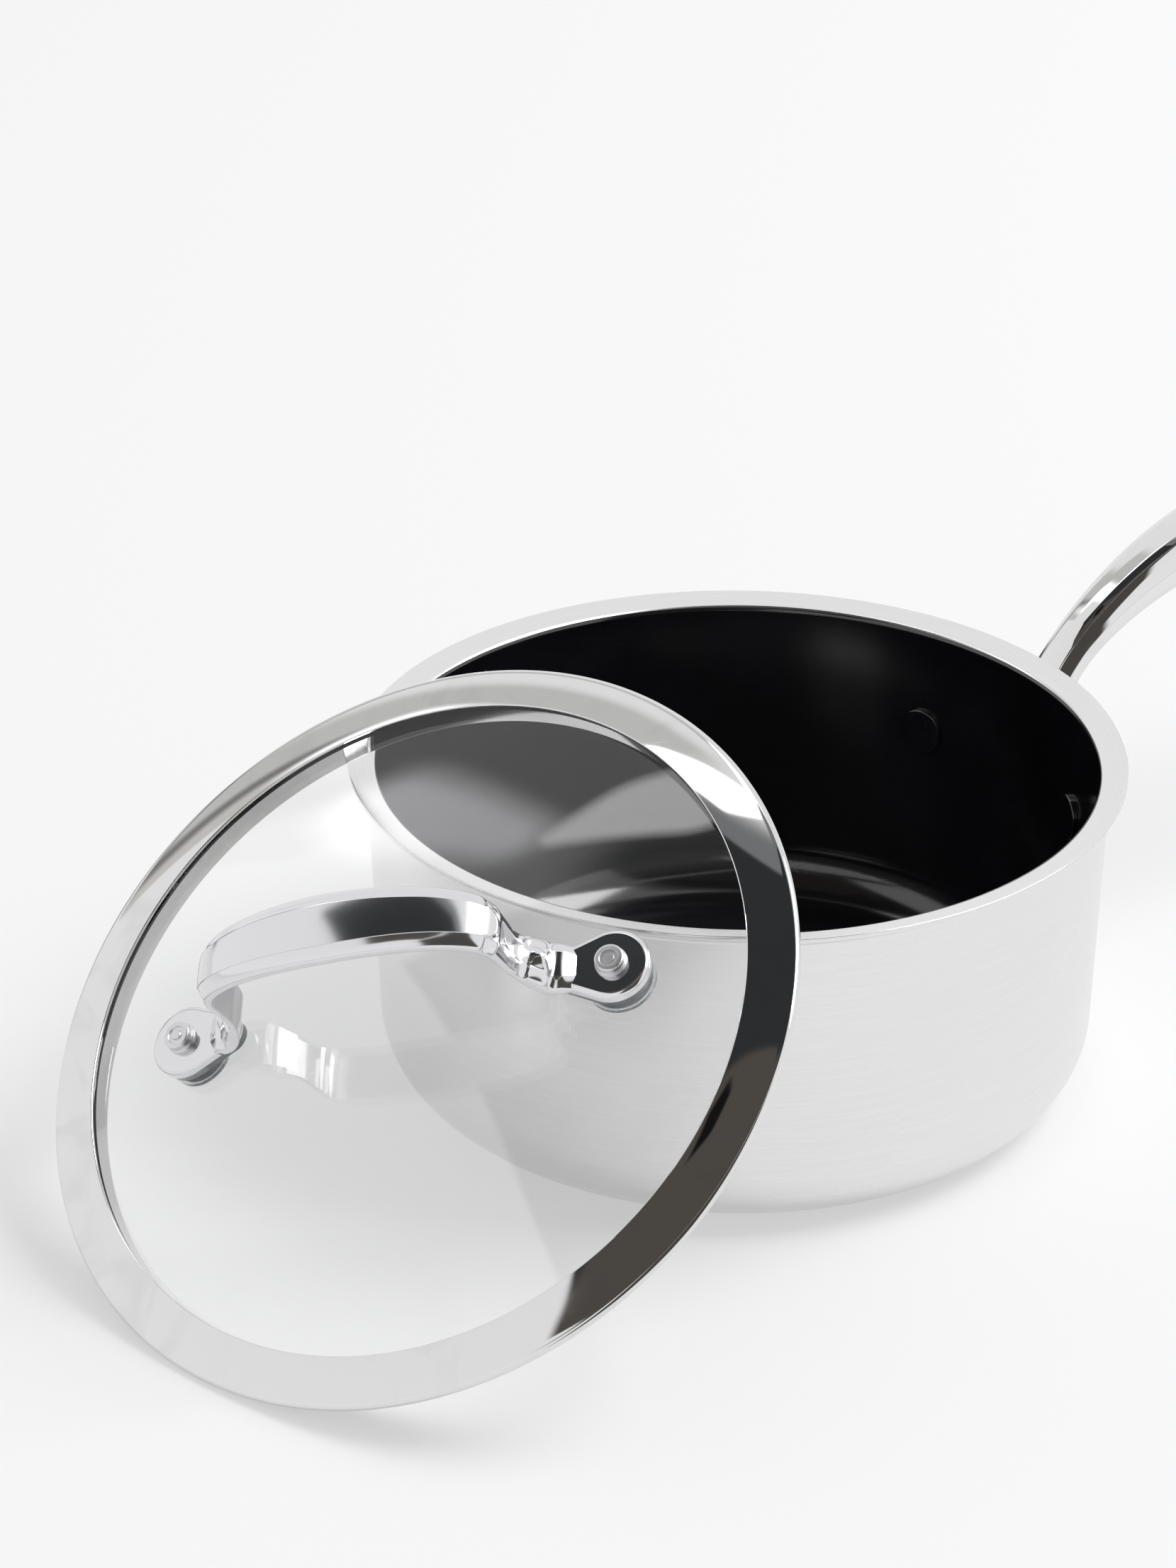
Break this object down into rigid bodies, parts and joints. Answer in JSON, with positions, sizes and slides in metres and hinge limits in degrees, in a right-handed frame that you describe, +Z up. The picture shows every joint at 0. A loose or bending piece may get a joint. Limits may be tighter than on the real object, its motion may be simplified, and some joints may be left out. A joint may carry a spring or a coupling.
{
  "type": "saucepan with glass lid",
  "caption": "Straight-sided saucepan with a riveted cast handle; its steel-banded domed glass lid leans on the rim and has a bridge handle.",
  "frame": {"origin": "centre of the pan's flat base", "axes": "+X along the long handle, +Z up along the pan's axis; the lid leans on the -X side"},
  "size_m": [0.4438, 0.196, 0.1182],
  "materials": {
    "brushed_steel": "satin circular brush lines",
    "aluminium": "rolled sheet",
    "rim_steel": "polished",
    "nonstick": "satin black ceramic",
    "polished_cast_steel": "mirror polished cast stainless steel",
    "rivet_steel": "turned, with the head inside the pan coated black",
    "glass": "clear toughened glass",
    "band_steel": "mirror polished sheet",
    "clear_silicone": "translucent silicone",
    "turned_steel": "turned, with fine rings"
  },
  "bodies": {
    "pan": {"outer_steel_skin": "brushed_steel", "aluminium_core": "aluminium", "inner_steel_skin": "rim_steel", "nonstick_coating": "nonstick", "long_handle": "polished_cast_steel", "rivet_left": "rivet_steel", "rivet_right": "rivet_steel"},
    "lid": {"lid_glass": "glass", "lid_band": "band_steel", "lid_handle": "polished_cast_steel", "clear_washer_left": "clear_silicone", "seal_left": "clear_silicone", "post_left": "turned_steel", "steel_washer_left": "turned_steel", "screw_left": "turned_steel", "clear_washer_right": "clear_silicone", "seal_right": "clear_silicone", "post_right": "turned_steel", "steel_washer_right": "turned_steel", "screw_right": "turned_steel"}
  },
  "joints": [
    {"name": "lid_lift", "type": "slide", "parent": "pan", "child": "lid", "axis": [0, 0, 1], "range_m": [0, 0.15]}
  ]
}
